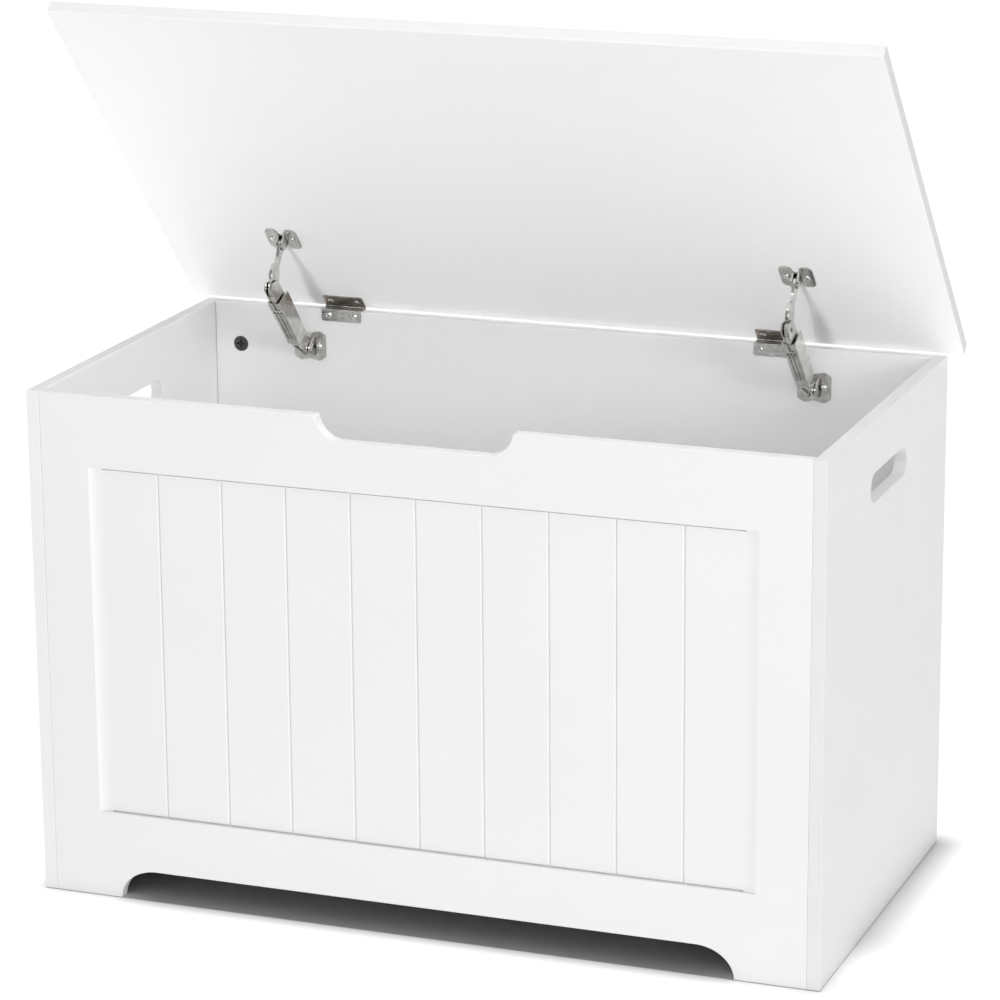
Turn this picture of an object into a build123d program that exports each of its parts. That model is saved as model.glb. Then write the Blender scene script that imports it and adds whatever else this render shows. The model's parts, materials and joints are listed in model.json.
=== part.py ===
from build123d import *
from math import asin, cos, radians, sin
import os

os.makedirs("parts", exist_ok=True)

# A white toy chest with a lid held open by two folding stays.
# X runs along the width, Y from front to back and Z up; the floor is Z = 0.
# The origin is the middle of the floor area that the chest covers with its lid part-way open.

# ---- Boards ----
body_width = 730.0
body_depth = 385.0
body_height = 465.0
board = 12.0
board_round = 0.8
lid_width = 760.0
lid_depth = 430.0
lid_round = 1.0
lid_gap = 3.2
rest_opening = 47.5
bottom_height = 40.0

# ---- Front panel ----
recess_width = 615.0
recess_low = 80.0
recess_high = 400.0
recess_depth = 3.0
recess_end_cove = 12.0
edge_groove_width = 1.8
edge_groove_depth = 1.8
slat_pitch = 60.4
groove_count = 9
groove_width = 3.0
groove_depth = 1.5
foot_width = 76.5
arch_height = 28.0
arch_end_length = 35.0
notch_width = 181.0
notch_depth = 21.5
notch_round = 24.0
notch_lip_round = 2.2

# ---- Hand slots ----
slot_length = 117.0
slot_height = 26.0
slot_centre_height = 404.5
slot_round = 1.0

# ---- Hinges ----
hinge_centres = (-222.0, 206.0)
leaf_length = 40.0
leaf_thickness = 1.0
leaf_drop = 11.5
leaf_reach = 16.0
leaf_corner = 2.0
axis_from_back = 1.5
knuckle_radius = 1.5
knuckle_count = 5
knuckle_space = 0.3
knuckle_strip = 1.5
plate_to_knuckle = 0.4
hinge_pin_radius = 0.8
hinge_pin_fit = 0.06
pressed_fit = 0.02
hinge_screw_spread = 13.0
body_screw_from_end = 5.6
lid_screw_from_edge = 9.0

# ---- Lid stays ----
stay_centres = (-254.5, 244.0)
lower_pivot_below_top = 36.0
lower_pivot_from_panel = 11.0
upper_pivot_from_edge = 106.0
upper_pivot_from_lid = 7.5
pivot_radius = 2.0
pivot_fit = 0.06
open_pivot_fit = 0.15
rivet_head_radius = 3.2
rivet_head_height = 1.1
cheek_thickness = 1.2
frame_width = 7.4
arm_thickness = 3.2
arm_end_radius = 4.6
arm_rim_round = 0.4
heel_radius = 7.0
side_space = 0.3
cover_width = 12.5
cover_thickness = 1.2
cover_tilt = 2.5
ear_thickness = 1.5
ear_radius = 5.0

# ---- Screws and panel fittings ----
screw_shank_radius = 1.6
screw_tip_length = 1.5
screw_hole_space = 0.05
hinge_screw_length = 11.0
hinge_screw_head_radius = 2.85
hinge_screw_dome = 0.8
hinge_screw_rim = 0.15
hinge_screw_cone = 1.25
stay_screw_length = 11.5
stay_screw_head_radius = 3.3
stay_screw_head_height = 1.8
stay_screw_rim = 0.4
cam_radius = 7.45
cam_height = 9.4
cam_hole_radius = 7.5
cam_hole_depth = 9.6
cam_from_end = 26.0
cam_heights = (100.0, 425.0)
bottom_cam_depths = (70.0, 315.0)
bolt_thread_radius = 2.5
bolt_thread_length = 9.4
bolt_shank_radius = 2.0
bolt_head_radius = 3.2
bolt_head_length = 3.0
bolt_hole_radius = 4.0
dowel_radius = 3.0
dowel_in_side = 8.5
dowel_in_edge = 18.0
wood_hole_space = 0.03
dowel_heights = (250.0, 350.0)
bottom_dowel_depths = (150.0, 235.0)

# ---- Places worked out from the sizes above ----
inner_half_width = body_width / 2 - board
lid_inner_height = body_height + lid_gap
axis_height = body_height + lid_gap / 2
lid_top_height = lid_inner_height + board


def rear_reach_of_open_lid():
    """How far the tilted lid's rear top edge stands behind the body's front face."""
    corner_back = axis_from_back - lid_round
    corner_up = lid_top_height - axis_height - lid_round
    turn = radians(rest_opening)
    return body_depth - axis_from_back + corner_back * cos(turn) + corner_up * sin(turn) + lid_round


front_y = -rear_reach_of_open_lid() / 2
back_y = front_y + body_depth
back_inner_y = back_y - board
axis_y = back_y - axis_from_back
mid_depth_y = front_y + body_depth / 2
hinge_axis = Axis((0, axis_y, axis_height), (-1, 0, 0))

lower_pivot = Vector(0, back_inner_y - lower_pivot_from_panel, body_height - lower_pivot_below_top)
upper_pivot_closed = Vector(0, back_y - upper_pivot_from_edge, lid_inner_height - upper_pivot_from_lid)
axis_point = Vector(0, axis_y, axis_height)
upper_pivot = axis_point + (upper_pivot_closed - axis_point).rotate(hinge_axis, rest_opening)
# The four pivots form a parallelogram, so cover and lid always turn by the same angle.
elbow_pivot = upper_pivot + lower_pivot - axis_point
link_direction = (elbow_pivot - lower_pivot).normalized()
arm_direction = (upper_pivot - elbow_pivot).normalized()
link_length = (elbow_pivot - lower_pivot).length
arm_length = (upper_pivot - elbow_pivot).length


# ---- Small helpers ----
def block(low, high):
    """A box from its lowest to its highest corner."""
    size = [top - bottom for bottom, top in zip(low, high)]
    centre = [(top + bottom) / 2 for bottom, top in zip(low, high)]
    return Pos(*centre) * Box(*size)


def rod(start, direction, length, radius):
    """A cylinder that starts at a point and runs along a direction."""
    seat = Plane(origin=start, z_dir=direction)
    return seat * Cylinder(radius, length, align=(Align.CENTER, Align.CENTER, Align.MIN))


def in_both_halves(shape):
    """A shape and its mirror image on the other side of the chest."""
    return [shape, mirror(shape, about=Plane.YZ)]


def save(node, shape):
    export_step(shape, f"parts/{node}.step")


def save_group(node, shapes):
    export_step(Compound(children=list(shapes)), f"parts/{node}.step")


def open_with_lid(shape):
    """Turn a shape that is drawn with the lid closed to its place on the open lid."""
    return shape.rotate(hinge_axis, rest_opening)


def cross_recess(radius, depth):
    """The cross-shaped driver recess, sunk from Z = 0."""
    top = (Align.CENTER, Align.CENTER, Align.MAX)
    arm_width = 0.36 * radius
    bar = Box(2 * radius, arm_width, depth, align=top)
    return bar + Rot(0, 0, 90) * bar


def oval_head_screw():
    """A hinge screw: a cone sunk from Z = 0, a low dome above it and a tip that points down."""
    rim = hinge_screw_head_radius
    dome = ThreePointArc(
        (0, hinge_screw_dome), (0.72 * rim, 0.62 * hinge_screw_dome), (rim, 0)
    )
    rest = Polyline(
        (rim, 0), (rim, -hinge_screw_rim), (screw_shank_radius, -hinge_screw_rim - hinge_screw_cone),
        (screw_shank_radius, screw_tip_length - hinge_screw_length), (0, -hinge_screw_length),
        (0, hinge_screw_dome),
    )
    body = revolve(Plane.XZ * make_face([dome, rest]), axis=Axis.Z)
    return body - Pos(0, 0, hinge_screw_dome) * cross_recess(1.5, 1.1)


def pan_head_screw():
    """A stay screw with a rounded head that sits on Z = 0 and a shank that points down."""
    rim = stay_screw_head_radius
    top = stay_screw_head_height
    dome = ThreePointArc((0, top), (0.72 * rim, 0.8 * top), (rim, stay_screw_rim))
    rest = Polyline(
        (rim, stay_screw_rim), (rim, 0), (screw_shank_radius, 0),
        (screw_shank_radius, screw_tip_length - stay_screw_length), (0, -stay_screw_length), (0, top),
    )
    body = revolve(Plane.XZ * make_face([dome, rest]), axis=Axis.Z)
    return body - Pos(0, 0, top) * cross_recess(1.8, 1.3)


def rivet(centre, half_span):
    """A pin along X with a domed head outside each end of its span."""
    dome = ThreePointArc(
        (0, rivet_head_height), (0.74 * rivet_head_radius, 0.65 * rivet_head_height), (rivet_head_radius, 0)
    )
    sole = Polyline((rivet_head_radius, 0), (0, 0), (0, rivet_head_height))
    head = revolve(Plane.XZ * make_face([dome, sole]), axis=Axis.Z)
    along = Vector(half_span, 0, 0)
    right = Plane(origin=centre + along, z_dir=(1, 0, 0)) * head
    left = Plane(origin=centre - along, z_dir=(-1, 0, 0)) * head
    return right + left + rod(centre - along, (1, 0, 0), 2 * half_span, pivot_radius)


def cross_rod(centre, radius):
    """A rod along X through a pivot, long enough to bore every plate of a stay."""
    reach = 10
    return rod(centre - Vector(reach, 0, 0), (1, 0, 0), 2 * reach, radius)


def plate(plane, face, thickness, offset=0.0):
    """A flat plate, centred on the plane or set off from it along the plane's normal."""
    return extrude(plane.offset(offset) * face, amount=thickness / 2, both=True)


# ---- Panel fittings: cam locks, their bolts and the dowels ----
def panel_joint_rows():
    """The mid-plane point of every board end that meets the right-hand side panel, with the side
    from which its cam lock is turned: (y, z, direction out of the cam's face)."""
    front_mid = front_y + board / 2
    back_mid = back_y - board / 2
    bottom_mid = bottom_height + board / 2
    cams = {
        "front": [(front_mid, z, Vector(0, 1, 0)) for z in cam_heights],
        "back": [(back_mid, z, Vector(0, -1, 0)) for z in cam_heights],
        "bottom": [(front_y + d, bottom_mid, Vector(0, 0, -1)) for d in bottom_cam_depths],
    }
    dowels = [(y, z) for y in (front_mid, back_mid) for z in dowel_heights]
    dowels += [(front_y + d, bottom_mid) for d in bottom_dowel_depths]
    return cams, dowels


def cam_seat(y, z, face_direction):
    """The plane on the board's face, at the cam's centre, with its normal out of the board."""
    middle = Vector(inner_half_width - cam_from_end, y, z)
    return Plane(origin=middle + face_direction * (board / 2), x_dir=(1, 0, 0), z_dir=face_direction)


def cam_lock(y, z, face_direction):
    """A round cam with a driver recess and a pocket that holds the bolt's head."""
    below = (Align.CENTER, Align.CENTER, Align.MAX)
    drum = Cylinder(cam_radius, cam_height, align=below)
    drum = drum - cross_recess(4.2, 2.0)
    drum = chamfer(drum.edges().group_by(Axis.Z)[-1].sort_by(SortBy.LENGTH)[-1], 0.4)
    pocket_start = Vector(-bolt_head_length / 2 - 1.5, 0, -board / 2)
    pocket = rod(pocket_start, (1, 0, 0), 2 * cam_radius, bolt_head_radius + 0.3)
    return cam_seat(y, z, face_direction) * (drum - pocket)


def cam_bolt(y, z):
    """The bolt screwed into the side panel, with its head inside the cam."""
    end = Vector(inner_half_width, y, z)
    inward = (-1, 0, 0)
    thread = rod(end, (1, 0, 0), bolt_thread_length, bolt_thread_radius)
    shank = rod(end, inward, cam_from_end, bolt_shank_radius)
    head_start = end - Vector(cam_from_end - bolt_head_length / 2, 0, 0)
    head = rod(head_start, inward, bolt_head_length, bolt_head_radius)
    return thread + shank + head


def dowel(y, z):
    start = Vector(inner_half_width - dowel_in_edge, y, z)
    pin = rod(start, (1, 0, 0), dowel_in_edge + dowel_in_side, dowel_radius)
    return chamfer(pin.edges().filter_by(GeomType.CIRCLE), 0.6)


def cam_hole(y, z, face_direction):
    """What a cam and its bolt need cut out of the board that they join."""
    below = (Align.CENTER, Align.CENTER, Align.MAX)
    pocket = cam_seat(y, z, face_direction) * Cylinder(cam_hole_radius, cam_hole_depth, align=below)
    start = Vector(inner_half_width - cam_from_end, y, z)
    return pocket + rod(start, (1, 0, 0), cam_from_end, bolt_hole_radius)


def dowel_hole(y, z):
    start = Vector(inner_half_width - dowel_in_edge - 0.5, y, z)
    return rod(start, (1, 0, 0), dowel_in_edge + dowel_in_side + 1.0, dowel_radius + wood_hole_space)


def bolt_hole(y, z):
    start = Vector(inner_half_width, y, z)
    return rod(start, (1, 0, 0), bolt_thread_length + 0.2, bolt_thread_radius + wood_hole_space)


# ---- Boards ----
def rounded_board(low, high, radius):
    box = block(low, high)
    return fillet(box.edges(), radius)


def side_panel():
    """The right-hand side panel; the left-hand one is its mirror image."""
    outer = body_width / 2
    panel = rounded_board((inner_half_width, front_y, 0), (outer, back_y, body_height), board_round)
    slot_centre = (outer - board / 2, mid_depth_y, slot_centre_height)
    seat = Plane(origin=slot_centre, x_dir=(0, 1, 0), z_dir=(1, 0, 0))
    panel -= plate(seat, SlotOverall(slot_length, slot_height), board + 2)
    slot_edges = panel.edges().filter_by(
        lambda edge: abs(edge.center().Z - slot_centre_height) < slot_height
        and abs(edge.center().Y - mid_depth_y) < slot_length
        and min(abs(edge.center().X - inner_half_width), abs(edge.center().X - outer)) < 0.01
    )
    panel = fillet(slot_edges, slot_round)
    cams, dowels = panel_joint_rows()
    for rows in cams.values():
        for y, z, _ in rows:
            panel -= bolt_hole(y, z)
    for y, z in dowels:
        panel -= dowel_hole(y, z)
    return panel


def notch_outline():
    """The finger notch, drawn past the top edge, with large round bottom corners."""
    half = notch_width / 2
    low = body_height - notch_depth
    high = low + 1.3 * notch_round
    face = Polygon((-half, low), (half, low), (half, high), (-half, high), align=None)
    return fillet(face.vertices().group_by(Axis.Y)[0], notch_round)


def arch_outline():
    """The gap between the feet, with a quarter ellipse above each foot."""
    straight_half = body_width / 2 - foot_width - arch_end_length
    face = Rectangle(2 * straight_half, 2 * arch_height)
    for x in (-straight_half, straight_half):
        face += Pos(x, 0) * Ellipse(arch_end_length, arch_height)
    return face


def front_outline():
    half = inner_half_width
    face = Polygon((-half, 0), (half, 0), (half, body_height), (-half, body_height), align=None)
    face = face - notch_outline() - arch_outline()
    lips = face.vertices().filter_by(
        lambda corner: abs(corner.Y - body_height) < 0.01 and abs(corner.X) < notch_width
    )
    return fillet(lips, notch_lip_round)


def recess():
    """The shallow field in the front, with coves at its ends and a thin groove along its long edges."""
    half = recess_width / 2
    face_y = front_y
    floor_y = front_y + recess_depth
    outside_y = front_y - 1
    cove_radius = (recess_end_cove ** 2 + recess_depth ** 2) / (2 * recess_depth)
    half_turn = asin(recess_end_cove / cove_radius) / 2
    middle_x = half - recess_end_cove + cove_radius * sin(half_turn)
    middle_y = floor_y - cove_radius * (1 - cos(half_turn))
    floor_half = half - recess_end_cove
    right_cove = ThreePointArc((floor_half, floor_y), (middle_x, middle_y), (half, face_y))
    left_cove = ThreePointArc((-half, face_y), (-middle_x, middle_y), (-floor_half, floor_y))
    rim = Polyline((half, face_y), (half, outside_y), (-half, outside_y), (-half, face_y))
    floor = Line((-floor_half, floor_y), (floor_half, floor_y))
    outline = make_face([right_cove, rim, left_cove, floor])
    field = extrude(Plane.XY.offset(recess_low) * outline, amount=recess_high - recess_low, dir=(0, 0, 1))
    for low in (recess_low, recess_high - edge_groove_width):
        field += block(
            (-floor_half, outside_y, low), (floor_half, floor_y + edge_groove_depth, low + edge_groove_width)
        )
    return field


def slat_groove(number):
    """One of the V-shaped grooves between the slats, counted from the left."""
    x = (number - (groove_count - 1) / 2) * slat_pitch
    floor_y = front_y + recess_depth
    section = Polygon(
        (x - groove_width / 2, floor_y), (x + groove_width / 2, floor_y), (x, floor_y + groove_depth),
        align=None,
    )
    low = recess_low + edge_groove_width / 2
    return extrude(Plane.XY.offset(low) * section, amount=recess_high - recess_low - edge_groove_width)


def front_panel():
    face_plane = Plane(origin=(0, front_y, 0), x_dir=(1, 0, 0), z_dir=(0, -1, 0))
    panel = extrude(face_plane * front_outline(), amount=-board)
    outline_edges = panel.edges().group_by(Axis.Y)
    panel = fillet(outline_edges[0] + outline_edges[-1], board_round)
    panel -= recess()
    for number in range(groove_count):
        panel -= slat_groove(number)
    cams, dowels = panel_joint_rows()
    return cut_joints(panel, cams["front"], [row for row in dowels if row[0] < front_y + board])


def cut_joints(panel, cam_rows, dowel_rows):
    """Cut the cam and dowel holes of both ends of a board."""
    cuts = [cam_hole(*row) for row in cam_rows] + [dowel_hole(*row) for row in dowel_rows]
    for cut in cuts:
        for one in in_both_halves(cut):
            panel -= one
    return panel


def back_panel():
    panel = rounded_board(
        (-inner_half_width, back_inner_y, 0), (inner_half_width, back_y, body_height), board_round
    )
    cams, dowels = panel_joint_rows()
    panel = cut_joints(panel, cams["back"], [row for row in dowels if row[0] > back_inner_y])
    for seat in body_leaf_screw_seats():
        panel -= seat * hinge_screw_hole()
    for seat in body_bracket_screw_seats():
        panel -= seat * shank_hole(stay_screw_length)
    return panel


def bottom_panel():
    low = (-inner_half_width, front_y + board, bottom_height)
    high = (inner_half_width, back_inner_y, bottom_height + board)
    panel = block(low, high)
    cams, dowels = panel_joint_rows()
    return cut_joints(panel, cams["bottom"], [row for row in dowels if row[1] < bottom_height + board])


def lid_panel():
    """The lid, drawn closed, with the pilot holes of its screws."""
    panel = rounded_board(
        (-lid_width / 2, back_y - lid_depth, lid_inner_height), (lid_width / 2, back_y, lid_top_height),
        lid_round,
    )
    for seat in lid_leaf_screw_seats():
        panel -= seat * hinge_screw_hole()
    for seat in lid_bracket_screw_seats():
        panel -= seat * shank_hole(stay_screw_length)
    return panel


# ---- Hinges ----
def knuckle_spans(first):
    """The X spans of every second knuckle, counted from the one given."""
    length = leaf_length / knuckle_count
    spans = []
    for number in range(first, knuckle_count, 2):
        start = -leaf_length / 2 + number * length
        spans.append((start + knuckle_space / 2, start + length - knuckle_space / 2))
    return spans


def knuckles(shape, first, hole_radius, plate_low, plate_high):
    """Add rolled knuckles, and the strips that join them to a leaf, at every second place."""
    bores = []
    for start, end in knuckle_spans(first):
        shape += rod((start, axis_y, axis_height), (1, 0, 0), end - start, knuckle_radius)
        strip_y = axis_y - knuckle_radius - knuckle_strip
        shape += block((start, strip_y, plate_low), (end, axis_y, plate_high))
        bores.append(rod((start - 1, axis_y, axis_height), (1, 0, 0), end - start + 2, hole_radius))
    for bore in bores:
        shape -= bore
    return shape


def leaf_outline(width, height):
    """A leaf with its two far corners rounded; its near edge is on the X axis."""
    face = Polygon((-width / 2, 0), (width / 2, 0), (width / 2, height), (-width / 2, height), align=None)
    return fillet(face.vertices().group_by(Axis.Y)[-1], leaf_corner)


def hinge_body_leaf():
    """The cranked leaf: down the inner face of the back panel and across its top edge."""
    wall = Plane(origin=(0, back_inner_y, body_height + leaf_thickness), x_dir=(1, 0, 0), z_dir=(0, 1, 0))
    upright = extrude(wall * leaf_outline(leaf_length, leaf_drop), amount=-leaf_thickness)
    top_low = (-leaf_length / 2, back_inner_y - leaf_thickness, body_height)
    top_high = (leaf_length / 2, axis_y - knuckle_radius - plate_to_knuckle, body_height + leaf_thickness)
    leaf = upright + block(top_low, top_high)
    bend = leaf.edges().filter_by(Axis.X).filter_by(
        lambda edge: abs(edge.center().Z - body_height - leaf_thickness) < 0.01
        and abs(edge.center().Y - back_inner_y + leaf_thickness) < 0.01
    )
    leaf = fillet(bend, 0.8 * leaf_thickness)
    leaf = knuckles(leaf, 0, hinge_pin_radius + pressed_fit, body_height, body_height + leaf_thickness)
    for x in (-hinge_screw_spread, hinge_screw_spread):
        place = (x, back_inner_y - leaf_thickness, hinge_body_screw_height())
        leaf -= Plane(origin=place, z_dir=(0, -1, 0)) * hinge_screw_hole()
    return leaf


def hinge_body_screw_height():
    return body_height + leaf_thickness - leaf_drop + body_screw_from_end


def hinge_lid_leaf():
    """The lid's leaf, drawn closed, flat against the lid's inner face."""
    near_y = axis_y - knuckle_radius - plate_to_knuckle
    inner = Plane(origin=(0, near_y, lid_inner_height), x_dir=(-1, 0, 0), z_dir=(0, 0, 1))
    reach = leaf_reach - (back_y - near_y)
    flat = extrude(inner * leaf_outline(leaf_length, reach), amount=-leaf_thickness)
    low = lid_inner_height - leaf_thickness
    leaf = knuckles(flat, 1, hinge_pin_radius + hinge_pin_fit, low, lid_inner_height)
    for x in (-hinge_screw_spread, hinge_screw_spread):
        place = (x, back_y - lid_screw_from_edge, low)
        leaf -= Plane(origin=place, z_dir=(0, 0, -1)) * hinge_screw_hole()
    return leaf


def hinge_pin():
    """The pin; its two ends stand a little outside the barrel."""
    half = leaf_length / 2 + 0.6
    pin = rod((-half, axis_y, axis_height), (1, 0, 0), 2 * half, hinge_pin_radius)
    return chamfer(pin.edges().filter_by(GeomType.CIRCLE), 0.25)


def shank_hole(length):
    """The hole for a screw's shank, from Z = 0 downwards."""
    below = (Align.CENTER, Align.CENTER, Align.MAX)
    return Cylinder(screw_shank_radius + screw_hole_space, length + 0.3, align=below)


def hinge_screw_hole():
    """The countersunk hole for a hinge screw, cut through the leaf and on into the board."""
    rim = hinge_screw_head_radius + screw_hole_space
    shank = screw_shank_radius + screw_hole_space
    above = 0.5
    half = Polyline(
        (0, above), (rim, above), (rim, -hinge_screw_rim), (shank, -hinge_screw_rim - hinge_screw_cone),
        (shank, -hinge_screw_rim - hinge_screw_cone - 1), (0, -hinge_screw_rim - hinge_screw_cone - 1),
        (0, above),
    )
    return revolve(Plane.XZ * make_face(half), axis=Axis.Z) + shank_hole(hinge_screw_length)


# ---- Lid stays, drawn about X = 0 ----
# The stay plane's X runs from the lower pivot to the elbow and its Y towards the lid.
stay_plane = Plane(origin=lower_pivot, x_dir=link_direction, z_dir=(-1, 0, 0))
housing_plane = Plane(stay_plane.location * Rot(0, 0, cover_tilt))
arm_plane = Plane(origin=elbow_pivot, x_dir=arm_direction, z_dir=(-1, 0, 0))
elbow_x = link_length * cos(radians(cover_tilt))
elbow_y = -link_length * sin(radians(cover_tilt))

# The housing, in the housing plane.
cover_web_y = -13.8
cover_low_x = 27.0
cover_high_x = 94.0
cover_back_low = (22.5, 3.6)
cover_back_high = (86.5, 6.8)
cover_bend = 1.0
frame_web_y = cover_web_y + cover_thickness
frame_web_start_x = 22.0
frame_web_end_x = 85.0
frame_lobe_radius = 5.5
seat_low_x = 30.0
seat_thickness = 1.6
seat_height = 6.0
shoe_length = 16.0
shoe_height = 4.0
shoe_space = 0.15
spring_wire_radius = 0.4
spring_coil_radius = 1.75
spring_turns = 16
spring_end_space = 0.05
spring_start_x = seat_low_x + seat_thickness
shoe_start_x = elbow_x - 21.0
rib_radius = 1.0
rib_pitch = 3.3
rib_count = 3
rib_from_end = 8.0
slot_gap = 1.6
slot_drop = 11.5
slot_foot = 4.2


def cover_profile(inset):
    """The side of the cover; the inset makes the inside's profile, open at the back and the ends."""
    reach = 20.0 if inset else 0.0
    return Polygon(
        (cover_low_x - reach, cover_web_y + inset), (cover_high_x + reach, cover_web_y + inset),
        (cover_back_high[0] + reach, cover_back_high[1] + reach),
        (cover_back_low[0] - reach, cover_back_low[1] + reach), align=None,
    )


def cover_ribs():
    """Ribs pressed out of the web, drawn with the web at Z = 0."""
    length = slot_start_x() - cover_low_x - 1.5 * rib_from_end
    outside = Box(4 * length, cover_width, 4 * rib_radius, align=(Align.CENTER, Align.CENTER, Align.MIN))
    for number in range(rib_count):
        across = (number - (rib_count - 1) / 2) * rib_pitch
        start = Vector(cover_low_x + rib_from_end, across, 0)
        yield rod(start, (1, 0, 0), length, rib_radius) & outside


def cover_slot():
    """The L-shaped slot at the top of the web, drawn with the web at Z = 0."""
    deep = 6 * cover_thickness
    leg = Box(2 * slot_drop, slot_gap, deep, align=(Align.MIN, Align.CENTER, Align.CENTER))
    foot = Box(slot_gap, slot_foot, deep, align=(Align.MIN, Align.MIN, Align.CENTER))
    return Pos(slot_start_x(), 0, 0) * (leg + Pos(0, slot_gap / 2 - slot_foot, 0) * foot)


def stay_cover():
    """A folded channel with ribs pressed into its web and an L-shaped slot at its top."""
    cover = plate(housing_plane, cover_profile(0), cover_width)
    web_length = cover_high_x - cover_low_x
    long_edges = cover.edges().filter_by(lambda edge: edge.length > web_length - 1)
    web_edges = long_edges.sort_by(lambda edge: housing_plane.to_local_coords(edge.center()).Y)[:2]
    cover = fillet(web_edges, cover_bend)
    cover -= plate(housing_plane, cover_profile(cover_thickness), cover_width - 2 * cover_thickness)
    web = housing_plane.location * Pos(0, cover_web_y, 0) * Rot(90, 0, 0)
    for rib in cover_ribs():
        cover += web * rib
    return cover - web * cover_slot()


def slot_start_x():
    return cover_high_x - slot_drop


def frame_cheek_outline():
    """One side of the inner frame: a round end at the lower pivot and a chamfered end at the elbow."""
    body = Polygon(
        (0, -frame_lobe_radius), (frame_web_start_x, frame_web_y), (elbow_x - 8, frame_web_y),
        (elbow_x + 8, elbow_y - 8), (elbow_x + 11.5, elbow_y - 2), (elbow_x + 4, elbow_y + 8),
        (elbow_x - 10, elbow_y + 8.5), (frame_web_start_x, 3.2), (0, frame_lobe_radius), align=None,
    )
    end_corners = body.vertices().filter_by(lambda corner: corner.X > elbow_x - 12)
    return fillet(end_corners, 1.8) + Circle(frame_lobe_radius)


def stay_frame():
    """The inner frame: two cheeks joined by a web, with a seat bent in for the spring."""
    cheek_offset = (frame_width - cheek_thickness) / 2
    frame = plate(housing_plane, frame_cheek_outline(), cheek_thickness, cheek_offset)
    frame += plate(housing_plane, frame_cheek_outline(), cheek_thickness, -cheek_offset)
    web = block(
        (frame_web_start_x, frame_web_y, -frame_width / 2),
        (frame_web_end_x, frame_web_y + cheek_thickness, frame_width / 2),
    )
    half_gap = frame_width / 2 - cheek_thickness
    seat = block((seat_low_x, frame_web_y, -half_gap), (spring_start_x, frame_web_y + seat_height, half_gap))
    frame += housing_plane.location * (web + seat)
    frame -= cross_rod(lower_pivot, pivot_radius + pivot_fit)
    return frame - cross_rod(elbow_pivot, pivot_radius + pressed_fit)


def brake_shoe():
    """A nylon block that the spring presses against the arm's round heel."""
    half_gap = frame_width / 2 - cheek_thickness - shoe_space
    low_y = frame_web_y + cheek_thickness + spring_end_space
    end_x = shoe_start_x + shoe_length
    shoe = block((shoe_start_x, low_y, -half_gap), (end_x, low_y + shoe_height, half_gap))
    heel = Pos(elbow_x, elbow_y, 0) * Cylinder(heel_radius + shoe_space, 4 * half_gap)
    return housing_plane.location * (shoe - heel)


def brake_spring():
    """The coil spring between the seat and the shoe; it touches neither."""
    length = shoe_start_x - spring_start_x - 2 * (spring_wire_radius + spring_end_space)
    coil = Helix(length / spring_turns, length, spring_coil_radius)
    wire = Plane(origin=coil @ 0, z_dir=coil % 0) * Circle(spring_wire_radius)
    spring = Rot(0, 90, 0) * sweep(wire, path=coil, is_frenet=True)
    centre_y = frame_web_y + cheek_thickness + spring_coil_radius + spring_wire_radius + shoe_space
    start_x = spring_start_x + spring_wire_radius + spring_end_space
    return housing_plane.location * Pos(start_x, centre_y, 0) * spring


def arm_outline():
    """The arm from its round heel at (0, 0): a broad shoulder, then a narrow neck up to the eye."""
    heel = ThreePointArc((0, -heel_radius), (-heel_radius, 0), (0, heel_radius))
    front = Spline(
        heel @ 1, (8, 8.2), (15, 6.4), (23, 2.6), (arm_length, arm_end_radius), tangents=[(1, 0), (1, 0)]
    )
    end = ThreePointArc(
        (arm_length, arm_end_radius), (arm_length + arm_end_radius, 0), (arm_length, -arm_end_radius)
    )
    neck = Spline(end @ 1, (31, -3.6), (24.5, -4.4), tangents=[(-1, 0), (-1, -0.1)])
    step = Line(neck @ 1, (22, -9.4))
    shoulder = Spline(step @ 1, (15, -11.2), (7, -9.6), heel @ 0, tangents=[(-1, -0.4), (-1, 0.2)])
    return make_face([heel, front, end, neck, step, shoulder])


def stay_arm():
    arm = plate(arm_plane, arm_outline(), arm_thickness)
    rims = arm.edges().filter_by(lambda edge: abs(abs(edge.center().X) - arm_thickness / 2) < 0.01)
    arm = fillet(rims, arm_rim_round)
    arm -= cross_rod(elbow_pivot, pivot_radius + pivot_fit)
    return arm - cross_rod(upper_pivot, pivot_radius + open_pivot_fit)


def ear(root_plane, pivot_height, root_width, inner_x):
    """One ear that stands on its root plane and ends in a round eye about the pivot."""
    outline = Polygon(
        (-root_width / 2, 0), (root_width / 2, 0), (ear_radius, pivot_height), (-ear_radius, pivot_height),
        align=None,
    )
    outline += Pos(0, pivot_height) * Circle(ear_radius)
    return plate(root_plane, outline, ear_thickness, inner_x + ear_thickness / 2)


def pair_of_ears(root_plane, pivot_height, root_width, inner_x):
    ears = ear(root_plane, pivot_height, root_width, inner_x)
    return ears + ear(root_plane, pivot_height, root_width, -inner_x - ear_thickness)


body_ear_gap = frame_width + 2 * side_space
lid_ear_gap = arm_thickness + 2 * side_space
body_wing_reach = 15.8
body_wing_root = 12.0
body_wing_height = 14.2
body_wing_end = 10.5
body_wing_corner = 3.0
body_ear_root = 20.0
body_screw_x = 9.4
body_bracket_thickness = 1.5
lid_wing_x = 9.4
lid_wing_width = 12.4
lid_wing_length = 28.0
lid_wing_corner = 5.0
lid_bridge_length = 12.0
lid_ear_root = 14.0
lid_bracket_thickness = 1.2


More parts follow.
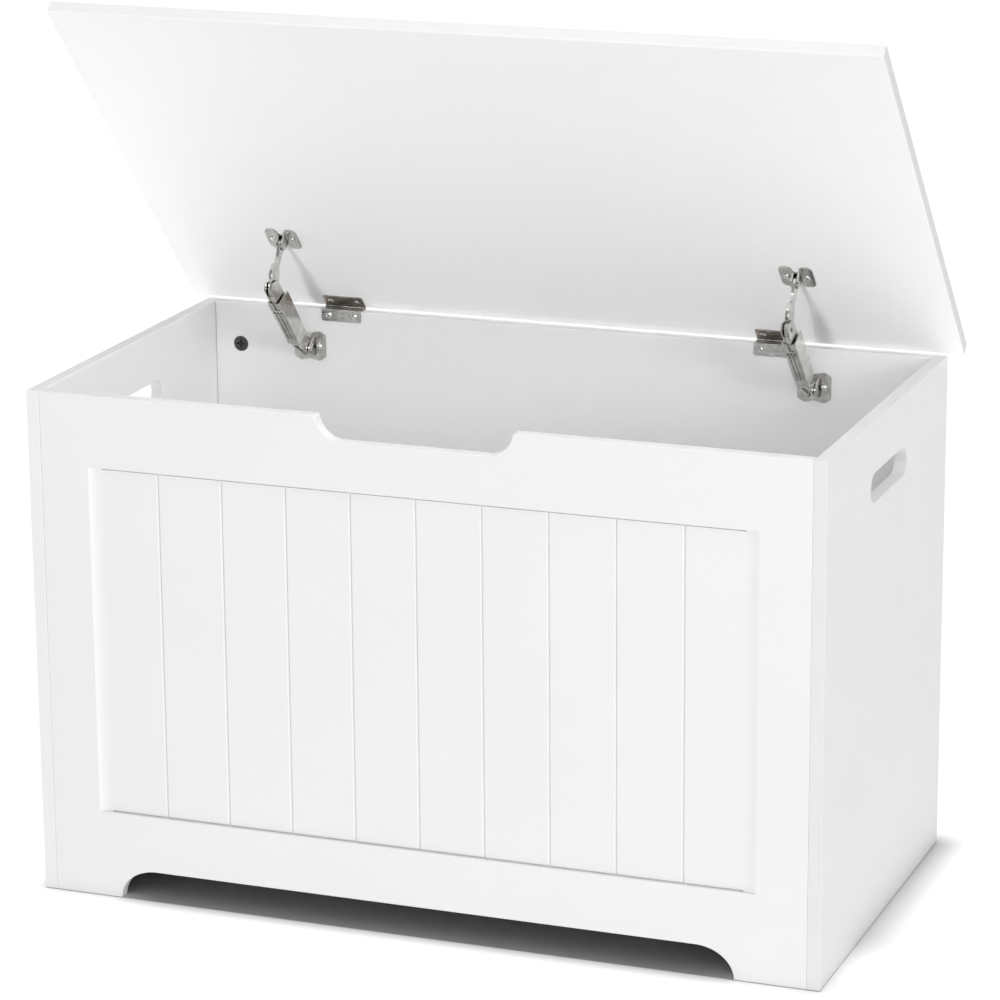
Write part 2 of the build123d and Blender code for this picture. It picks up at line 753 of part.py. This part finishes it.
def body_wings_outline():
    """Two wings side by side; each is highest at its middle."""
    right = [(0, body_wing_root), (body_screw_x, body_wing_height), (body_wing_reach, body_wing_end)]
    lower_right = [(x, -y) for x, y in reversed(right)]
    lower_left = [(-x, -y) for x, y in right[1:]]
    upper_left = [(-x, y) for x, y in reversed(right[1:])]
    face = Polygon(*right, *lower_right, *lower_left, *upper_left, align=None)
    outer = face.vertices().filter_by(lambda corner: abs(corner.X) > body_ear_gap)
    return fillet(outer, body_wing_corner)


def stay_body_bracket():
    """The bracket on the back panel: two wings with screws and two ears for the lower pivot."""
    wall = Plane(origin=(0, back_inner_y, lower_pivot.Z), x_dir=(1, 0, 0), z_dir=(0, -1, 0))
    bracket = extrude(wall * body_wings_outline(), amount=body_bracket_thickness, dir=(0, -1, 0))
    ear_root = Plane(origin=(0, back_inner_y, lower_pivot.Z), x_dir=(0, 0, 1), z_dir=(1, 0, 0))
    bracket += pair_of_ears(ear_root, lower_pivot_from_panel, body_ear_root, body_ear_gap / 2)
    bracket -= cross_rod(lower_pivot, pivot_radius + pressed_fit)
    for x in (-body_screw_x, body_screw_x):
        face_point = (x, back_inner_y - body_bracket_thickness, lower_pivot.Z)
        bracket -= Plane(origin=face_point, z_dir=(0, -1, 0)) * shank_hole(stay_screw_length)
    return bracket


def stay_lid_bracket():
    """The bracket on the lid, drawn closed: two round-cornered wings and two ears for the upper pivot."""
    face = Plane(origin=(0, upper_pivot_closed.Y, lid_inner_height), x_dir=(1, 0, 0), z_dir=(0, 0, -1))
    wings = Rectangle(2 * lid_wing_x, lid_bridge_length)
    for x in (-lid_wing_x, lid_wing_x):
        wings += Pos(x, 0) * RectangleRounded(lid_wing_width, lid_wing_length, lid_wing_corner)
    bracket = extrude(face * wings, amount=lid_bracket_thickness)
    ear_root = Plane(origin=face.origin, x_dir=(0, -1, 0), z_dir=(1, 0, 0))
    bracket += pair_of_ears(ear_root, upper_pivot_from_lid, lid_ear_root, lid_ear_gap / 2)
    bracket -= cross_rod(upper_pivot_closed, pivot_radius + pressed_fit)
    for x in (-lid_wing_x, lid_wing_x):
        face_point = (x, upper_pivot_closed.Y, lid_inner_height - lid_bracket_thickness)
        bracket -= Plane(origin=face_point, z_dir=(0, 0, -1)) * shank_hole(stay_screw_length)
    return bracket


# ---- Where the hardware's screws go: seats on the metal, with Z out of it ----
def body_leaf_screw_seats():
    for centre in hinge_centres:
        for x in (-hinge_screw_spread, hinge_screw_spread):
            at = (centre + x, back_inner_y - leaf_thickness, hinge_body_screw_height())
            yield Plane(origin=at, z_dir=(0, -1, 0)).location


def lid_leaf_screw_seats():
    for centre in hinge_centres:
        for x in (-hinge_screw_spread, hinge_screw_spread):
            at = (centre + x, back_y - lid_screw_from_edge, lid_inner_height - leaf_thickness)
            yield Plane(origin=at, z_dir=(0, 0, -1)).location


def body_bracket_screw_seats():
    for centre in stay_centres:
        for x in (-body_screw_x, body_screw_x):
            at = (centre + x, back_inner_y - body_bracket_thickness, lower_pivot.Z)
            yield Plane(origin=at, z_dir=(0, -1, 0)).location


def lid_bracket_screw_seats():
    for centre in stay_centres:
        for x in (-lid_wing_x, lid_wing_x):
            at = (centre + x, upper_pivot_closed.Y, lid_inner_height - lid_bracket_thickness)
            yield Plane(origin=at, z_dir=(0, 0, -1)).location


# ---- Build every node ----
def save_boards():
    right, left = in_both_halves(side_panel())
    save("right_side_panel", right)
    save("left_side_panel", left)
    save("front_panel", front_panel())
    save("back_panel", back_panel())
    save("bottom_panel", bottom_panel())
    save("lid_panel", open_with_lid(lid_panel()))


def save_fittings():
    cams, dowels = panel_joint_rows()
    for panel, rows in cams.items():
        locks = [one for row in rows for one in in_both_halves(cam_lock(*row))]
        save_group(f"{panel}_cam_locks", locks)
    bolts = [one for rows in cams.values() for y, z, _ in rows for one in in_both_halves(cam_bolt(y, z))]
    save_group("cam_bolts", bolts)
    save_group("dowels", [one for row in dowels for one in in_both_halves(dowel(*row))])


def save_hinges():
    body_leaf, lid_leaf, pin = hinge_body_leaf(), open_with_lid(hinge_lid_leaf()), hinge_pin()
    for side, x in zip(("left", "right"), hinge_centres):
        save(f"{side}_hinge_body_leaf", Pos(x, 0, 0) * body_leaf)
        save(f"{side}_hinge_lid_leaf", Pos(x, 0, 0) * lid_leaf)
        save(f"{side}_hinge_pin", Pos(x, 0, 0) * pin)
    screw = oval_head_screw()
    save_group("hinge_body_screws", [seat * screw for seat in body_leaf_screw_seats()])
    save_group("hinge_lid_screws", [open_with_lid(seat * screw) for seat in lid_leaf_screw_seats()])


def save_stays():
    pieces = {
        "body_bracket": stay_body_bracket(),
        "frame": stay_frame(),
        "cover": stay_cover(),
        "brake_shoe": brake_shoe(),
        "brake_spring": brake_spring(),
        "arm": stay_arm(),
        "lid_bracket": open_with_lid(stay_lid_bracket()),
        "lower_rivet": rivet(lower_pivot, body_ear_gap / 2 + ear_thickness),
        "elbow_rivet": rivet(elbow_pivot, frame_width / 2),
        "upper_rivet": rivet(upper_pivot, lid_ear_gap / 2 + ear_thickness),
    }
    for side, x in zip(("left", "right"), stay_centres):
        for name, shape in pieces.items():
            save(f"{side}_stay_{name}", Pos(x, 0, 0) * shape)
    screw = pan_head_screw()
    save_group("stay_body_screws", [seat * screw for seat in body_bracket_screw_seats()])
    save_group("stay_lid_screws", [open_with_lid(seat * screw) for seat in lid_bracket_screw_seats()])


save_boards()
save_fittings()
save_hinges()
save_stays()
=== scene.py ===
import json
import math

import bpy
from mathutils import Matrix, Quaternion, Vector


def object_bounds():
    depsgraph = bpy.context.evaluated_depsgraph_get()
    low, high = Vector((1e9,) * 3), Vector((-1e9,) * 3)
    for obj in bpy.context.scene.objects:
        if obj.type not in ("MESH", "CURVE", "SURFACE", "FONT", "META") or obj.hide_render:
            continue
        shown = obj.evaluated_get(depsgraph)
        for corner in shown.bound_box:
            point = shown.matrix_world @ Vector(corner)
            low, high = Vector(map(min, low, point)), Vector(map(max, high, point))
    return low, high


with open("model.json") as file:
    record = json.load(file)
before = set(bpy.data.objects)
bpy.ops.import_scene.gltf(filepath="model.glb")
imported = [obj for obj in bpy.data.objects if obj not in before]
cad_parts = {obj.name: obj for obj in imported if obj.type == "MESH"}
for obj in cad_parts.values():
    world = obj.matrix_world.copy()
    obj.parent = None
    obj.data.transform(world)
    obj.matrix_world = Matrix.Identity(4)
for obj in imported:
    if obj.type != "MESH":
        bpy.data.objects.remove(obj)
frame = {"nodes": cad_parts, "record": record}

# A white toy chest in a bright, plain studio. Lengths are in metres.
cad_low, cad_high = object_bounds()
MIDDLE = (cad_low + cad_high) / 2

# ---- Camera ----
CAMERA_PLACE = Vector((1.2641, -3.3173, 1.3463))
CAMERA_TARGET = Vector((0.0335, -0.0780, 0.3702))
CAMERA_ROLL = math.radians(-0.43)
CAMERA_LENS = 147.97
CAMERA_SENSOR = 36.0

# ---- Studio: lights have watts, and the floor's sun has watts per square metre ----
SKY_STRENGTH = 0.36
BACKGROUND_STRENGTH = 0.82
FLOOR_HALF = 40.0
FLOOR_DROP = 0.0002
FLOOR_SHADE = 0.86
FLOOR_SUN = 2.65
FLOOR_SUN_ANGLE = math.radians(5)
FRONT_LIGHT = 5.5
RIGHT_LIGHT = 33.0
SIDE_LIGHT = 14.0
RIGHT_PLACE = (3.0, -1.9, 1.3)
TOP_LIGHT = 30.0
INSIDE_LIGHT = 24.0
LID_LIGHT = 0.78
LEFT_WALL_LIGHT = 12.0
FULL_SPREAD = math.pi
LID_SPREAD = math.radians(14)
OPENING = (0.0, 0.15, 0.5)
LEFT_WALL = (-0.35, 0.0, 0.43)
FLAG_SHADE = 0.02
TOP_FLAG_SHADE = 0.03

# ---- Surfaces: colours, painted highlight and shade, and what counts as a rounded edge, an underside or a narrow gap ----
PAINT = (0.93, 0.93, 0.929)
# The next colour is a painted highlight for the rounded board edges.
PAINTED_EDGE_HIGHLIGHT = (0.975, 0.975, 0.975)
# The next colour is painted shade for low faces that look down under the chest.
UNDERSIDE_PAINTED_SHADE = (0.28, 0.275, 0.27)
UNDERSIDE_HEIGHT = 0.045
UNDERSIDE_SLOPE = -0.9
GROOVE_SLOPE = 0.72
ROUND_EDGE, FLAT_FACE = 0.90, 0.99
GAP_SHUT, GAP_OPEN = 0.35, 0.80
METAL_GAP = 0.0025
PAINT_GAP = 0.0016
NICKEL = (0.58, 0.53, 0.48)
# The next colour is a paler copy of the nickel, painted light for the hinge leaves on the back panel.
PAINTED_LIGHT_NICKEL = (0.78, 0.77, 0.75)
STAY_STEEL = (0.80, 0.785, 0.76)
RIVET_STEEL = (0.72, 0.70, 0.68)
SCREW_STEEL = (0.93, 0.93, 0.93)
FITTING_STEEL = (0.58, 0.58, 0.57)
SPRING_STEEL = (0.45, 0.45, 0.45)
DARK_ZINC = (0.10, 0.10, 0.105)
BEECH_LIGHT = (0.66, 0.45, 0.27)
BEECH_DARK = (0.48, 0.29, 0.15)
NYLON = (0.82, 0.81, 0.74)


def link_object(name, data):
    thing = bpy.data.objects.new(name, data)
    bpy.context.scene.collection.objects.link(thing)
    return thing


def aim(thing, place, target):
    thing.location = Vector(place)
    thing.rotation_mode = "QUATERNION"
    thing.rotation_quaternion = (Vector(target) - Vector(place)).to_track_quat("-Z", "Y")


def add_camera():
    data = bpy.data.cameras.new("camera")
    data.lens = CAMERA_LENS
    data.sensor_width = CAMERA_SENSOR
    data.clip_end = 100.0
    camera = link_object("camera", data)
    aim(camera, CAMERA_PLACE, CAMERA_TARGET)
    camera.rotation_quaternion = camera.rotation_quaternion @ Quaternion((0, 0, 1), CAMERA_ROLL)
    bpy.context.scene.camera = camera


def only_for(light, things):
    """Let a light reach only some of the objects; the others still cast its shadows."""
    receivers = bpy.data.collections.new(light.name + "_receivers")
    for thing in things:
        receivers.objects.link(thing)
    light.light_linking.receiver_collection = receivers


def add_soft_light(name, place, target, size, power, things, spread=FULL_SPREAD):
    """A rectangular light, with its width and height as size, that reaches only the named things."""
    data = bpy.data.lights.new(name, "AREA")
    data.shape = "RECTANGLE"
    data.size, data.size_y = size
    data.energy = power
    data.spread = spread
    light = link_object(name, data)
    aim(light, place, target)
    only_for(light, things)


def new_tree(material):
    material.use_nodes = True
    tree = material.node_tree
    tree.nodes.clear()
    return tree


def add_sky():
    """A dim even sky for the light, which the camera sees as a pale backdrop."""
    world = bpy.data.worlds.new("studio")
    bpy.context.scene.world = world
    tree = new_tree(world)
    chooser = tree.nodes.new("ShaderNodeMixShader")
    is_backdrop = tree.nodes.new("ShaderNodeLightPath").outputs["Is Camera Ray"]
    tree.links.new(is_backdrop, chooser.inputs["Fac"])
    for strength, socket in ((SKY_STRENGTH, chooser.inputs[1]), (BACKGROUND_STRENGTH, chooser.inputs[2])):
        background = tree.nodes.new("ShaderNodeBackground")
        background.inputs["Color"].default_value = (1, 1, 1, 1)
        background.inputs["Strength"].default_value = strength
        tree.links.new(background.outputs[0], socket)
    output = tree.nodes.new("ShaderNodeOutputWorld")
    tree.links.new(chooser.outputs[0], output.inputs["Surface"])


def flat_sheet(name, corners, shade):
    """A plain diffuse sheet that belongs to the studio and not to the chest."""
    mesh = bpy.data.meshes.new(name)
    mesh.from_pydata(corners, [], [(0, 1, 2, 3)])
    sheet = link_object(name, mesh)
    material = bpy.data.materials.new(name + "_paper")
    tree = new_tree(material)
    shader = tree.nodes.new("ShaderNodeBsdfDiffuse")
    shader.inputs["Color"].default_value = (shade, shade, shade, 1)
    output = tree.nodes.new("ShaderNodeOutputMaterial")
    tree.links.new(shader.outputs[0], output.inputs["Surface"])
    mesh.materials.append(material)
    return sheet


def add_floor():
    h = FLOOR_HALF
    z = cad_low.z - FLOOR_DROP
    return flat_sheet("floor", [(-h, -h, z), (h, -h, z), (h, h, z), (-h, h, z)], FLOOR_SHADE)


def add_floor_sun(floor):
    """A soft light from straight above that only the floor receives, so that the floor goes white."""
    data = bpy.data.lights.new("floor_sun", "SUN")
    data.energy = FLOOR_SUN
    data.angle = FLOOR_SUN_ANGLE
    sun = link_object("floor_sun", data)
    aim(sun, (0, 0, 3), (0, 0, 0))
    only_for(sun, [floor])


def add_flag(name, corners, shade):
    """A dark card that only shows in reflections, to give the metal its contrast."""
    flag = flat_sheet(name, corners, shade)
    flag.visible_camera = False
    flag.visible_diffuse = False
    flag.visible_shadow = False
    flag.visible_transmission = False


bpy.context.scene.view_settings.view_transform = "Standard"
add_camera()
add_sky()
floor = add_floor()
add_floor_sun(floor)
# Each soft light reaches the chest, or some of its pieces, and never the floor.
pieces = frame["nodes"]
chest = list(pieces.values())
LID = "lid_panel"
RIGHT_SIDE = "right_side_panel"
LEFT_SIDE = "left_side_panel"
lit_from_right = [thing for name, thing in pieces.items() if name not in (LID, RIGHT_SIDE)]
OUTER = ("front_panel", LEFT_SIDE, RIGHT_SIDE, "bottom_panel", LID)
lit_inside = [thing for name, thing in pieces.items() if name not in OUTER]
add_soft_light("top_light", (0.2, -0.7, 2.8), MIDDLE, (2.4, 2.4), TOP_LIGHT, chest)
add_soft_light("front_light", (0.4, -3.6, 1.3), MIDDLE, (2.4, 1.6), FRONT_LIGHT, chest)
add_soft_light("right_light", RIGHT_PLACE, MIDDLE, (1.0, 1.0), RIGHT_LIGHT, lit_from_right)
add_soft_light("side_light", RIGHT_PLACE, MIDDLE, (1.0, 1.0), SIDE_LIGHT, [pieces[RIGHT_SIDE]])
add_soft_light("inside_light", (1.0, -3.0, 1.45), OPENING, (1.4, 0.8), INSIDE_LIGHT, lit_inside)
add_soft_light("lid_light", (-0.3, -3.0, 0.8), OPENING, (1.2, 0.3), LID_LIGHT, [pieces[LID]], LID_SPREAD)
add_soft_light(
    "left_wall_light", (3.0, -0.6, 1.25), LEFT_WALL, (0.8, 0.8), LEFT_WALL_LIGHT, [pieces[LEFT_SIDE]]
)
RIGHT_FLAG = [(1.6, -0.6, 0.1), (1.6, 1.2, 0.1), (1.6, 1.2, 1.1), (1.6, -0.6, 1.1)]
FRONT_FLAG = [(-1.4, -2.6, 0.2), (0.5, -2.6, 0.2), (0.5, -2.6, 0.75), (-1.4, -2.6, 0.75)]
TOP_FLAG = [(-0.9, -0.9, 1.9), (0.4, -0.9, 1.9), (0.4, 0.4, 1.9), (-0.9, 0.4, 1.9)]
add_flag("right_flag", RIGHT_FLAG, FLAG_SHADE)
add_flag("front_flag", FRONT_FLAG, FLAG_SHADE)
add_flag("top_flag", TOP_FLAG, TOP_FLAG_SHADE)


# ---- Node helpers ----
class Painter:
    """Builds one material's node tree from short calls."""

    def __init__(self, name):
        self.material = bpy.data.materials.new(name)
        self.tree = new_tree(self.material)
        self.shader = self.node("ShaderNodeBsdfPrincipled")
        output = self.node("ShaderNodeOutputMaterial")
        self.join(self.shader.outputs[0], output.inputs["Surface"])
        self.place = self.node("ShaderNodeTexCoord").outputs["Object"]

    def node(self, kind):
        return self.tree.nodes.new(kind)

    def join(self, source, target):
        self.tree.links.new(source, target)

    def set(self, **values):
        for name, value in values.items():
            self.shader.inputs[name.replace("_", " ")].default_value = value

    def stretched(self, scale):
        mapping = self.node("ShaderNodeMapping")
        mapping.inputs["Scale"].default_value = scale
        self.join(self.place, mapping.inputs["Vector"])
        return mapping.outputs[0]

    def noise(self, scale, detail=3.0, roughness=0.5, stretch=(1, 1, 1)):
        texture = self.node("ShaderNodeTexNoise")
        texture.inputs["Scale"].default_value = scale
        texture.inputs["Detail"].default_value = detail
        texture.inputs["Roughness"].default_value = roughness
        self.join(self.stretched(stretch), texture.inputs["Vector"])
        return texture.outputs["Fac"]

    def spread(self, source, low, high, from_low=0.3, from_high=0.7):
        """Map a texture's usual span, or another one, to a new span."""
        ranger = self.node("ShaderNodeMapRange")
        ranger.inputs["From Min"].default_value = from_low
        ranger.inputs["From Max"].default_value = from_high
        ranger.inputs["To Min"].default_value = low
        ranger.inputs["To Max"].default_value = high
        self.join(source, ranger.inputs["Value"])
        return ranger.outputs[0]

    def mix(self, factor, first, second):
        mixer = self.node("ShaderNodeMix")
        mixer.data_type = "RGBA"
        self.join(factor, mixer.inputs["Factor"])
        for color, socket in ((first, mixer.inputs[6]), (second, mixer.inputs[7])):
            if isinstance(color, tuple):
                socket.default_value = (*color, 1)
            else:
                self.join(color, socket)
        return mixer.outputs[2]

    def math(self, operation, first, second=None):
        step = self.node("ShaderNodeMath")
        step.operation = operation
        for value, socket in ((first, step.inputs[0]), (second, step.inputs[1])):
            if isinstance(value, (int, float)):
                socket.default_value = value
            elif value is not None:
                self.join(value, socket)
        return step.outputs[0]

    def crevice_shade(self, distance):
        """0 in narrow gaps and corners, where painted shade goes, and 1 on open faces."""
        occlusion = self.node("ShaderNodeAmbientOcclusion")
        occlusion.samples = 6
        occlusion.inputs["Distance"].default_value = distance
        return self.spread(occlusion.outputs["AO"], 0.0, 1.0, GAP_SHUT, GAP_OPEN)

    def color(self, source):
        self.join(source, self.shader.inputs["Base Color"])

    def roughness(self, source):
        self.join(source, self.shader.inputs["Roughness"])

    def bump(self, height, distance, strength=1.0):
        bump = self.node("ShaderNodeBump")
        bump.inputs["Distance"].default_value = distance
        bump.inputs["Strength"].default_value = strength
        self.join(height, bump.inputs["Height"])
        self.join(bump.outputs[0], self.shader.inputs["Normal"])


def darker(color, share):
    return tuple(channel * share for channel in color)


def painted_highlight_mask(paint, tilt):
    """1 on rounded edges, where the painted highlight goes, and 0 on flat faces of a board that is tilted
    about X.
    """
    geometry = paint.node("ShaderNodeNewGeometry")
    turn = paint.node("ShaderNodeVectorRotate")
    turn.rotation_type = "X_AXIS"
    turn.inputs["Angle"].default_value = tilt
    paint.join(geometry.outputs["True Normal"], turn.inputs["Vector"])
    split = paint.node("ShaderNodeSeparateXYZ")
    paint.join(turn.outputs[0], split.inputs[0])
    sizes = [paint.math("ABSOLUTE", split.outputs[axis]) for axis in range(3)]
    largest = paint.math("MAXIMUM", paint.math("MAXIMUM", sizes[0], sizes[1]), sizes[2])
    is_round = paint.math("GREATER_THAN", largest, GROOVE_SLOPE)
    return paint.math("MULTIPLY", is_round, paint.spread(largest, 1.0, 0.0, ROUND_EDGE, FLAT_FACE))


def painted_underside_shade_mask(paint):
    """1 on faces that look down just above the floor, which get painted shade."""
    geometry = paint.node("ShaderNodeNewGeometry")
    normal = paint.node("ShaderNodeSeparateXYZ")
    paint.join(geometry.outputs["True Normal"], normal.inputs[0])
    place = paint.node("ShaderNodeSeparateXYZ")
    paint.join(geometry.outputs["Position"], place.inputs[0])
    looks_down = paint.math("LESS_THAN", normal.outputs[2], UNDERSIDE_SLOPE)
    is_low = paint.math("LESS_THAN", place.outputs[2], UNDERSIDE_HEIGHT)
    return paint.math("MULTIPLY", looks_down, is_low)


# ---- Materials: a noise scale is in grains per metre ----
def board_paint(name, tilt):
    """Satin white paint: a faint orange peel, slow changes of sheen, a painted highlight on rounded
    edges, and painted shade in narrow gaps and on low faces that look down.
    """
    paint = Painter(name)
    cloud = paint.spread(paint.noise(9.0, 4.0), 0.0, 1.0)
    face = paint.mix(cloud, darker(PAINT, 0.988), PAINT)
    speck = paint.spread(paint.noise(420.0, 2.0), 0.0, 1.0, 0.70, 0.80)
    face = paint.mix(speck, face, darker(PAINT, 0.95))
    # Painted highlight: the rounded edges get a brighter colour.
    color = paint.mix(painted_highlight_mask(paint, tilt), face, PAINTED_EDGE_HIGHLIGHT)
    # Painted shade: narrow gaps and corners get a darker colour.
    color = paint.mix(paint.crevice_shade(PAINT_GAP), darker(PAINT, 0.72), color)
    # Painted shade: low faces that look down get a dark colour.
    color = paint.mix(painted_underside_shade_mask(paint), color, UNDERSIDE_PAINTED_SHADE)
    paint.color(color)
    paint.roughness(paint.spread(paint.noise(35.0, 5.0), 0.36, 0.50))
    paint.bump(paint.noise(650.0, 2.0), 0.00006, 0.35)
    return paint.material


def metal(name, color, rough, grain=(1, 1, 1), painted_reflection_share=0.75, painted_reflection_scale=160.0):
    """Plated steel with cloudy patches of painted reflection, painted shade in narrow gaps, and fine
    brushing along one direction.
    """
    paint = Painter(name)
    # Painted reflection: cloudy darker patches across the metal.
    cloud = paint.spread(paint.noise(painted_reflection_scale, 4.0, 0.6), 0.0, 1.0)
    reflection_patches = paint.mix(cloud, darker(color, painted_reflection_share), color)
    # Painted shade: narrow gaps and corners of the metal go almost black.
    paint.color(paint.mix(paint.crevice_shade(METAL_GAP), darker(color, 0.08), reflection_patches))
    brushing = paint.noise(900.0, 3.0, 0.6, grain)
    paint.roughness(paint.spread(brushing, rough * 0.75, rough * 1.35))
    paint.bump(brushing, 0.00004, 0.35)
    paint.set(Metallic=1.0)
    return paint.material


def cast_zinc():
    paint = Painter("cast_zinc")
    grain = paint.noise(700.0, 4.0, 0.65)
    paint.color(paint.mix(paint.spread(grain, 0.0, 1.0), darker(DARK_ZINC, 0.55), DARK_ZINC))
    paint.roughness(paint.spread(grain, 0.38, 0.58))
    paint.bump(grain, 0.0001, 0.5)
    paint.set(Metallic=0.6)
    return paint.material


def beech():
    paint = Painter("beech_wood")
    rings = paint.noise(60.0, 4.0, 0.6, (0.15, 1, 1))
    pores = paint.noise(900.0, 2.0, 0.5, (0.08, 1, 1))
    wood = paint.mix(paint.spread(rings, 0.0, 1.0), BEECH_DARK, BEECH_LIGHT)
    paint.color(paint.mix(paint.spread(pores, 0.0, 0.5, 0.6, 0.75), wood, darker(BEECH_DARK, 0.6)))
    paint.roughness(paint.spread(rings, 0.5, 0.65))
    paint.bump(pores, 0.0001, 0.4)
    return paint.material


def nylon():
    paint = Painter("nylon_block")
    cloud = paint.noise(220.0, 3.0)
    paint.color(paint.mix(paint.spread(cloud, 0.0, 1.0), darker(NYLON, 0.93), NYLON))
    paint.roughness(paint.spread(cloud, 0.42, 0.56))
    paint.bump(paint.noise(1200.0, 2.0), 0.00004, 0.4)
    return paint.material


LID_TILT = math.radians(47.5)
ALONG_X = (0.06, 1, 1)
ALONG_Z = (1, 1, 0.06)
MATERIALS = {
    "painted_board": board_paint("board_paint", 0.0),
    "nickel_plate": metal("nickel", NICKEL, 0.26, ALONG_X, 0.62),
    "stay_steel": metal("stay_plate", STAY_STEEL, 0.17, ALONG_Z, 0.62, 110.0),
    "rivet_steel": metal("rivet_plate", RIVET_STEEL, 0.24, painted_reflection_share=0.6),
    "screw_steel": metal("screw_plate", SCREW_STEEL, 0.16, painted_reflection_share=0.8),
    "dark_zinc": cast_zinc(),
    "fitting_steel": metal("bolt_plate", FITTING_STEEL, 0.32, ALONG_X),
    "beech": beech(),
    "spring_steel": metal("spring_wire", SPRING_STEEL, 0.28),
    "nylon": nylon(),
}
# The lid's paint knows its tilt, and the hinge leaves on the back panel get a paler copy of the nickel as
# painted light.
NODE_MATERIALS = {LID: board_paint("lid_paint", LID_TILT)}
painted_light_leaf_nickel = metal("nickel_painted_light", PAINTED_LIGHT_NICKEL, 0.26, ALONG_X, 0.7)
for side in ("left", "right"):
    NODE_MATERIALS[side + "_hinge_body_leaf"] = painted_light_leaf_nickel

for part in frame["record"]["subparts"]:
    node = frame["nodes"][part["node"]]
    node.data.materials.clear()
    node.data.materials.append(NODE_MATERIALS.get(part["node"], MATERIALS[part["material_slot"]]))
